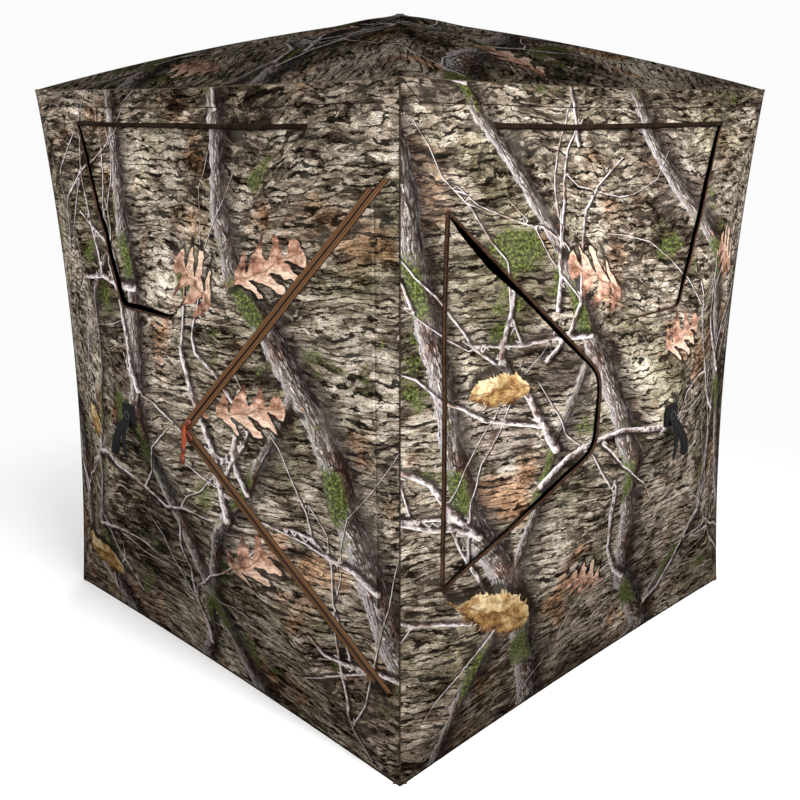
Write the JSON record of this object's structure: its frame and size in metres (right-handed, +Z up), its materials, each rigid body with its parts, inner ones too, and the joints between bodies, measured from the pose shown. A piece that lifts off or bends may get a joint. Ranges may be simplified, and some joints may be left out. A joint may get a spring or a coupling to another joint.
{
  "type": "pop up ground blind",
  "caption": "Pop up hunting blind: cube of camouflage fabric faces sprung over centre hubs and fibreglass poles, zipped side door, flap windows and stake tabs.",
  "frame": {"origin": "on the ground at the centre of the square footprint", "axes": "+Z up, the face with the door looks along -Y, the face with the side window along +X"},
  "size_m": [1.9798, 1.9798, 1.8003],
  "materials": {
    "camo_wall": "brushed woven polyester with a woodland bark and branch print",
    "camo_roof": "brushed woven polyester with a woodland bark and branch print",
    "camo_door": "brushed woven polyester with a woodland bark and branch print",
    "camo_flap": "brushed woven polyester, printed outside and black inside",
    "black_webbing": "ribbed woven webbing",
    "seam_webbing": "folded woven binding",
    "zip_tape": "brown coil zip tape",
    "zip_slider": "reddish brown lacquer",
    "pole_fibreglass": "black pultruded fibreglass with moulded ends",
    "hub_plastic": "moulded black nylon",
    "cup_plastic": "moulded black nylon"
  },
  "bodies": {
    "body": {"corner_cups": "cup_plastic", "edge_webbing": "seam_webbing"},
    "front_hub": {"front_hub": "hub_plastic", "front_pull_strap": "black_webbing"},
    "front_pole_upper_right": {"front_pole_upper_right": "pole_fibreglass"},
    "front_pole_upper_left": {"front_pole_upper_left": "pole_fibreglass"},
    "front_pole_lower_left": {"front_pole_lower_left": "pole_fibreglass"},
    "front_pole_lower_right": {"front_pole_lower_right": "pole_fibreglass"},
    "front_panel_right": {"front_panel_right": "camo_wall", "door_zip_tape": "zip_tape"},
    "front_panel_top": {"front_panel_top": "camo_wall"},
    "front_panel_left": {"front_panel_left": "camo_wall"},
    "front_panel_bottom": {"front_panel_bottom": "camo_wall"},
    "right_hub": {"right_hub": "hub_plastic", "right_pull_strap": "black_webbing"},
    "right_pole_upper_right": {"right_pole_upper_right": "pole_fibreglass"},
    "right_pole_upper_left": {"right_pole_upper_left": "pole_fibreglass"},
    "right_pole_lower_left": {"right_pole_lower_left": "pole_fibreglass"},
    "right_pole_lower_right": {"right_pole_lower_right": "pole_fibreglass"},
    "right_panel_right": {"right_panel_right": "camo_wall"},
    "right_panel_top": {"right_panel_top": "camo_wall"},
    "right_panel_left": {"right_panel_left": "camo_wall"},
    "right_panel_bottom": {"right_panel_bottom": "camo_wall"},
    "back_hub": {"back_hub": "hub_plastic", "back_pull_strap": "black_webbing"},
    "back_pole_upper_right": {"back_pole_upper_right": "pole_fibreglass"},
    "back_pole_upper_left": {"back_pole_upper_left": "pole_fibreglass"},
    "back_pole_lower_left": {"back_pole_lower_left": "pole_fibreglass"},
    "back_pole_lower_right": {"back_pole_lower_right": "pole_fibreglass"},
    "back_panel_right": {"back_panel_right": "camo_wall"},
    "back_panel_top": {"back_panel_top": "camo_wall"},
    "back_panel_left": {"back_panel_left": "camo_wall"},
    "back_panel_bottom": {"back_panel_bottom": "camo_wall"},
    "left_hub": {"left_hub": "hub_plastic", "left_pull_strap": "black_webbing"},
    "left_pole_upper_right": {"left_pole_upper_right": "pole_fibreglass"},
    "left_pole_upper_left": {"left_pole_upper_left": "pole_fibreglass"},
    "left_pole_lower_left": {"left_pole_lower_left": "pole_fibreglass"},
    "left_pole_lower_right": {"left_pole_lower_right": "pole_fibreglass"},
    "left_panel_right": {"left_panel_right": "camo_wall"},
    "left_panel_top": {"left_panel_top": "camo_wall"},
    "left_panel_left": {"left_panel_left": "camo_wall"},
    "left_panel_bottom": {"left_panel_bottom": "camo_wall"},
    "roof_hub": {"roof_hub": "hub_plastic"},
    "roof_pole_upper_right": {"roof_pole_upper_right": "pole_fibreglass"},
    "roof_pole_upper_left": {"roof_pole_upper_left": "pole_fibreglass"},
    "roof_pole_lower_left": {"roof_pole_lower_left": "pole_fibreglass"},
    "roof_pole_lower_right": {"roof_pole_lower_right": "pole_fibreglass"},
    "roof_panel_right": {"roof_panel_right": "camo_roof"},
    "roof_panel_top": {"roof_panel_top": "camo_roof"},
    "roof_panel_left": {"roof_panel_left": "camo_roof"},
    "roof_panel_bottom": {"roof_panel_bottom": "camo_roof"},
    "door": {"door_flap": "camo_door"},
    "zip_slider_upper": {"zip_slider_upper": "zip_slider"},
    "zip_slider_lower": {"zip_slider_lower": "zip_slider"},
    "front_window_flap": {"front_window_flap": "camo_flap"},
    "right_window_flap": {"right_window_flap": "camo_flap"},
    "back_window_flap": {"back_window_flap": "camo_flap"},
    "left_window_flap": {"left_window_flap": "camo_flap"},
    "side_window_flap": {"side_window_flap": "camo_flap"}
  },
  "joints": [
    {"name": "front_hub_pop", "type": "slide", "parent": "body", "child": "front_hub", "axis": [0, -1, 0], "range_m": [-0.4, 0]},
    {"name": "front_pole_upper_right_pivot", "type": "hinge", "parent": "front_hub", "child": "front_pole_upper_right", "pos_m": [0.02902, -0.94, 0.82536], "axis": [0.7229, 0, -0.6909], "range_deg": [-0.02, 22.9]},
    {"name": "front_pole_upper_left_pivot", "type": "hinge", "parent": "front_hub", "child": "front_pole_upper_left", "pos_m": [-0.02902, -0.94, 0.82536], "axis": [0.7229, 0, 0.6909], "range_deg": [-0.02, 22.9]},
    {"name": "front_pole_lower_left_pivot", "type": "hinge", "parent": "front_hub", "child": "front_pole_lower_left", "pos_m": [-0.02902, -0.94, 0.76464], "axis": [-0.7229, 0, 0.6909], "range_deg": [-0.02, 22.9]},
    {"name": "front_pole_lower_right_pivot", "type": "hinge", "parent": "front_hub", "child": "front_pole_lower_right", "pos_m": [0.02902, -0.94, 0.76464], "axis": [-0.7229, 0, -0.6909], "range_deg": [-0.02, 22.9]},
    {"name": "front_panel_right_seam", "type": "hinge", "parent": "body", "child": "front_panel_right", "pos_m": [0.762, -0.762, 0.795], "axis": [0, 0, 1], "range_deg": [-29.43, 0.02]},
    {"name": "front_panel_top_seam", "type": "hinge", "parent": "body", "child": "front_panel_top", "pos_m": [0, -0.762, 1.59], "axis": [-1, 0, 0], "range_deg": [-28.26, 0.02]},
    {"name": "front_panel_left_seam", "type": "hinge", "parent": "body", "child": "front_panel_left", "pos_m": [-0.762, -0.762, 0.795], "axis": [0, 0, -1], "range_deg": [-29.43, 0.02]},
    {"name": "front_panel_bottom_seam", "type": "hinge", "parent": "body", "child": "front_panel_bottom", "pos_m": [0, -0.762, 0], "axis": [1, 0, 0], "range_deg": [-28.26, 0.02]},
    {"name": "right_hub_pop", "type": "slide", "parent": "body", "child": "right_hub", "axis": [1, 0, 0], "range_m": [-0.4, 0]},
    {"name": "right_pole_upper_right_pivot", "type": "hinge", "parent": "right_hub", "child": "right_pole_upper_right", "pos_m": [0.94, 0.02902, 0.82536], "axis": [0, 0.7229, -0.6909], "range_deg": [-0.02, 22.9]},
    {"name": "right_pole_upper_left_pivot", "type": "hinge", "parent": "right_hub", "child": "right_pole_upper_left", "pos_m": [0.94, -0.02902, 0.82536], "axis": [0, 0.7229, 0.6909], "range_deg": [-0.02, 22.9]},
    {"name": "right_pole_lower_left_pivot", "type": "hinge", "parent": "right_hub", "child": "right_pole_lower_left", "pos_m": [0.94, -0.02902, 0.76464], "axis": [0, -0.7229, 0.6909], "range_deg": [-0.02, 22.9]},
    {"name": "right_pole_lower_right_pivot", "type": "hinge", "parent": "right_hub", "child": "right_pole_lower_right", "pos_m": [0.94, 0.02902, 0.76464], "axis": [0, -0.7229, -0.6909], "range_deg": [-0.02, 22.9]},
    {"name": "right_panel_right_seam", "type": "hinge", "parent": "body", "child": "right_panel_right", "pos_m": [0.762, 0.762, 0.795], "axis": [0, 0, 1], "range_deg": [-29.43, 0.02]},
    {"name": "right_panel_top_seam", "type": "hinge", "parent": "body", "child": "right_panel_top", "pos_m": [0.762, 0, 1.59], "axis": [0, -1, 0], "range_deg": [-28.26, 0.02]},
    {"name": "right_panel_left_seam", "type": "hinge", "parent": "body", "child": "right_panel_left", "pos_m": [0.762, -0.762, 0.795], "axis": [0, 0, -1], "range_deg": [-29.43, 0.02]},
    {"name": "right_panel_bottom_seam", "type": "hinge", "parent": "body", "child": "right_panel_bottom", "pos_m": [0.762, 0, 0], "axis": [0, 1, 0], "range_deg": [-28.26, 0.02]},
    {"name": "back_hub_pop", "type": "slide", "parent": "body", "child": "back_hub", "axis": [0, 1, 0], "range_m": [-0.4, 0]},
    {"name": "back_pole_upper_right_pivot", "type": "hinge", "parent": "back_hub", "child": "back_pole_upper_right", "pos_m": [-0.02902, 0.94, 0.82536], "axis": [-0.7229, 0, -0.6909], "range_deg": [-0.02, 22.9]},
    {"name": "back_pole_upper_left_pivot", "type": "hinge", "parent": "back_hub", "child": "back_pole_upper_left", "pos_m": [0.02902, 0.94, 0.82536], "axis": [-0.7229, 0, 0.6909], "range_deg": [-0.02, 22.9]},
    {"name": "back_pole_lower_left_pivot", "type": "hinge", "parent": "back_hub", "child": "back_pole_lower_left", "pos_m": [0.02902, 0.94, 0.76464], "axis": [0.7229, 0, 0.6909], "range_deg": [-0.02, 22.9]},
    {"name": "back_pole_lower_right_pivot", "type": "hinge", "parent": "back_hub", "child": "back_pole_lower_right", "pos_m": [-0.02902, 0.94, 0.76464], "axis": [0.7229, 0, -0.6909], "range_deg": [-0.02, 22.9]},
    {"name": "back_panel_right_seam", "type": "hinge", "parent": "body", "child": "back_panel_right", "pos_m": [-0.762, 0.762, 0.795], "axis": [0, 0, 1], "range_deg": [-29.43, 0.02]},
    {"name": "back_panel_top_seam", "type": "hinge", "parent": "body", "child": "back_panel_top", "pos_m": [0, 0.762, 1.59], "axis": [1, 0, 0], "range_deg": [-28.26, 0.02]},
    {"name": "back_panel_left_seam", "type": "hinge", "parent": "body", "child": "back_panel_left", "pos_m": [0.762, 0.762, 0.795], "axis": [0, 0, -1], "range_deg": [-29.43, 0.02]},
    {"name": "back_panel_bottom_seam", "type": "hinge", "parent": "body", "child": "back_panel_bottom", "pos_m": [0, 0.762, 0], "axis": [-1, 0, 0], "range_deg": [-28.26, 0.02]},
    {"name": "left_hub_pop", "type": "slide", "parent": "body", "child": "left_hub", "axis": [-1, 0, 0], "range_m": [-0.4, 0]},
    {"name": "left_pole_upper_right_pivot", "type": "hinge", "parent": "left_hub", "child": "left_pole_upper_right", "pos_m": [-0.94, -0.02902, 0.82536], "axis": [0, -0.7229, -0.6909], "range_deg": [-0.02, 22.9]},
    {"name": "left_pole_upper_left_pivot", "type": "hinge", "parent": "left_hub", "child": "left_pole_upper_left", "pos_m": [-0.94, 0.02902, 0.82536], "axis": [0, -0.7229, 0.6909], "range_deg": [-0.02, 22.9]},
    {"name": "left_pole_lower_left_pivot", "type": "hinge", "parent": "left_hub", "child": "left_pole_lower_left", "pos_m": [-0.94, 0.02902, 0.76464], "axis": [0, 0.7229, 0.6909], "range_deg": [-0.02, 22.9]},
    {"name": "left_pole_lower_right_pivot", "type": "hinge", "parent": "left_hub", "child": "left_pole_lower_right", "pos_m": [-0.94, -0.02902, 0.76464], "axis": [0, 0.7229, -0.6909], "range_deg": [-0.02, 22.9]},
    {"name": "left_panel_right_seam", "type": "hinge", "parent": "body", "child": "left_panel_right", "pos_m": [-0.762, -0.762, 0.795], "axis": [0, 0, 1], "range_deg": [-29.43, 0.02]},
    {"name": "left_panel_top_seam", "type": "hinge", "parent": "body", "child": "left_panel_top", "pos_m": [-0.762, 0, 1.59], "axis": [0, 1, 0], "range_deg": [-28.26, 0.02]},
    {"name": "left_panel_left_seam", "type": "hinge", "parent": "body", "child": "left_panel_left", "pos_m": [-0.762, 0.762, 0.795], "axis": [0, 0, -1], "range_deg": [-29.43, 0.02]},
    {"name": "left_panel_bottom_seam", "type": "hinge", "parent": "body", "child": "left_panel_bottom", "pos_m": [-0.762, 0, 0], "axis": [0, -1, 0], "range_deg": [-28.26, 0.02]},
    {"name": "roof_hub_pop", "type": "slide", "parent": "body", "child": "roof_hub", "axis": [0, 0, 1], "range_m": [-0.4, 0]},
    {"name": "roof_pole_upper_right_pivot", "type": "hinge", "parent": "roof_hub", "child": "roof_pole_upper_right", "pos_m": [0.0297, 0.0297, 1.768], "axis": [0.7071, -0.7071, 0], "range_deg": [-0.02, 23.44]},
    {"name": "roof_pole_upper_left_pivot", "type": "hinge", "parent": "roof_hub", "child": "roof_pole_upper_left", "pos_m": [-0.0297, 0.0297, 1.768], "axis": [0.7071, 0.7071, 0], "range_deg": [-0.02, 23.44]},
    {"name": "roof_pole_lower_left_pivot", "type": "hinge", "parent": "roof_hub", "child": "roof_pole_lower_left", "pos_m": [-0.0297, -0.0297, 1.768], "axis": [-0.7071, 0.7071, 0], "range_deg": [-0.02, 23.44]},
    {"name": "roof_pole_lower_right_pivot", "type": "hinge", "parent": "roof_hub", "child": "roof_pole_lower_right", "pos_m": [0.0297, -0.0297, 1.768], "axis": [-0.7071, -0.7071, 0], "range_deg": [-0.02, 23.44]},
    {"name": "roof_panel_right_seam", "type": "hinge", "parent": "body", "child": "roof_panel_right", "pos_m": [0.762, 0, 1.59], "axis": [0, 1, 0], "range_deg": [-29.43, 0.02]},
    {"name": "roof_panel_top_seam", "type": "hinge", "parent": "body", "child": "roof_panel_top", "pos_m": [0, 0.762, 1.59], "axis": [-1, 0, 0], "range_deg": [-29.43, 0.02]},
    {"name": "roof_panel_left_seam", "type": "hinge", "parent": "body", "child": "roof_panel_left", "pos_m": [-0.762, 0, 1.59], "axis": [0, -1, 0], "range_deg": [-29.43, 0.02]},
    {"name": "roof_panel_bottom_seam", "type": "hinge", "parent": "body", "child": "roof_panel_bottom", "pos_m": [0, -0.762, 1.59], "axis": [1, 0, 0], "range_deg": [-29.43, 0.02]},
    {"name": "door_swing", "type": "hinge", "parent": "front_panel_right", "child": "door", "pos_m": [0.6962, -0.77927, 0.795], "axis": [0, 0, 1], "range_deg": [0, 120]},
    {"name": "zip_upper_run", "type": "slide", "parent": "front_panel_right", "child": "zip_slider_upper", "axis": [0.6588, 0.1729, 0.7322], "range_m": [0, 0.711]},
    {"name": "zip_lower_run", "type": "slide", "parent": "front_panel_right", "child": "zip_slider_lower", "axis": [0.6946, 0.1823, -0.6959], "range_m": [0, 0.67]},
    {"name": "front_window_flap_swing", "type": "hinge", "parent": "front_panel_top", "child": "front_window_flap", "pos_m": [0, -0.77272, 1.51459], "axis": [1, 0, 0], "range_deg": [0, 90]},
    {"name": "right_window_flap_swing", "type": "hinge", "parent": "right_panel_top", "child": "right_window_flap", "pos_m": [0.77272, 0, 1.51459], "axis": [0, 1, 0], "range_deg": [0, 90]},
    {"name": "back_window_flap_swing", "type": "hinge", "parent": "back_panel_top", "child": "back_window_flap", "pos_m": [0, 0.77272, 1.51459], "axis": [-1, 0, 0], "range_deg": [0, 90]},
    {"name": "left_window_flap_swing", "type": "hinge", "parent": "left_panel_top", "child": "left_window_flap", "pos_m": [-0.77272, 0, 1.51459], "axis": [0, -1, 0], "range_deg": [0, 90]},
    {"name": "side_window_flap_swing", "type": "hinge", "parent": "right_panel_left", "child": "side_window_flap", "pos_m": [0.77985, -0.66248, 0.795], "axis": [0, 0, 1], "range_deg": [0, 90]}
  ],
  "couplings": [
    {"joint": "front_pole_upper_right_pivot", "follows": "front_hub_pop", "rad_per_m": -0.99814},
    {"joint": "front_pole_upper_left_pivot", "follows": "front_hub_pop", "rad_per_m": -0.99814},
    {"joint": "front_pole_lower_left_pivot", "follows": "front_hub_pop", "rad_per_m": -0.99814},
    {"joint": "front_pole_lower_right_pivot", "follows": "front_hub_pop", "rad_per_m": -0.99814},
    {"joint": "front_panel_right_seam", "follows": "front_hub_pop", "rad_per_m": 1.2834},
    {"joint": "front_panel_top_seam", "follows": "front_hub_pop", "rad_per_m": 1.2323},
    {"joint": "front_panel_left_seam", "follows": "front_hub_pop", "rad_per_m": 1.2834},
    {"joint": "front_panel_bottom_seam", "follows": "front_hub_pop", "rad_per_m": 1.2323},
    {"joint": "right_pole_upper_right_pivot", "follows": "right_hub_pop", "rad_per_m": -0.99814},
    {"joint": "right_pole_upper_left_pivot", "follows": "right_hub_pop", "rad_per_m": -0.99814},
    {"joint": "right_pole_lower_left_pivot", "follows": "right_hub_pop", "rad_per_m": -0.99814},
    {"joint": "right_pole_lower_right_pivot", "follows": "right_hub_pop", "rad_per_m": -0.99814},
    {"joint": "right_panel_right_seam", "follows": "right_hub_pop", "rad_per_m": 1.2834},
    {"joint": "right_panel_top_seam", "follows": "right_hub_pop", "rad_per_m": 1.2323},
    {"joint": "right_panel_left_seam", "follows": "right_hub_pop", "rad_per_m": 1.2834},
    {"joint": "right_panel_bottom_seam", "follows": "right_hub_pop", "rad_per_m": 1.2323},
    {"joint": "back_pole_upper_right_pivot", "follows": "back_hub_pop", "rad_per_m": -0.99814},
    {"joint": "back_pole_upper_left_pivot", "follows": "back_hub_pop", "rad_per_m": -0.99814},
    {"joint": "back_pole_lower_left_pivot", "follows": "back_hub_pop", "rad_per_m": -0.99814},
    {"joint": "back_pole_lower_right_pivot", "follows": "back_hub_pop", "rad_per_m": -0.99814},
    {"joint": "back_panel_right_seam", "follows": "back_hub_pop", "rad_per_m": 1.2834},
    {"joint": "back_panel_top_seam", "follows": "back_hub_pop", "rad_per_m": 1.2323},
    {"joint": "back_panel_left_seam", "follows": "back_hub_pop", "rad_per_m": 1.2834},
    {"joint": "back_panel_bottom_seam", "follows": "back_hub_pop", "rad_per_m": 1.2323},
    {"joint": "left_pole_upper_right_pivot", "follows": "left_hub_pop", "rad_per_m": -0.99814},
    {"joint": "left_pole_upper_left_pivot", "follows": "left_hub_pop", "rad_per_m": -0.99814},
    {"joint": "left_pole_lower_left_pivot", "follows": "left_hub_pop", "rad_per_m": -0.99814},
    {"joint": "left_pole_lower_right_pivot", "follows": "left_hub_pop", "rad_per_m": -0.99814},
    {"joint": "left_panel_right_seam", "follows": "left_hub_pop", "rad_per_m": 1.2834},
    {"joint": "left_panel_top_seam", "follows": "left_hub_pop", "rad_per_m": 1.2323},
    {"joint": "left_panel_left_seam", "follows": "left_hub_pop", "rad_per_m": 1.2834},
    {"joint": "left_panel_bottom_seam", "follows": "left_hub_pop", "rad_per_m": 1.2323},
    {"joint": "roof_pole_upper_right_pivot", "follows": "roof_hub_pop", "rad_per_m": -1.0219},
    {"joint": "roof_pole_upper_left_pivot", "follows": "roof_hub_pop", "rad_per_m": -1.0219},
    {"joint": "roof_pole_lower_left_pivot", "follows": "roof_hub_pop", "rad_per_m": -1.0219},
    {"joint": "roof_pole_lower_right_pivot", "follows": "roof_hub_pop", "rad_per_m": -1.0219},
    {"joint": "roof_panel_right_seam", "follows": "roof_hub_pop", "rad_per_m": 1.2834},
    {"joint": "roof_panel_top_seam", "follows": "roof_hub_pop", "rad_per_m": 1.2834},
    {"joint": "roof_panel_left_seam", "follows": "roof_hub_pop", "rad_per_m": 1.2834},
    {"joint": "roof_panel_bottom_seam", "follows": "roof_hub_pop", "rad_per_m": 1.2834}
  ]
}
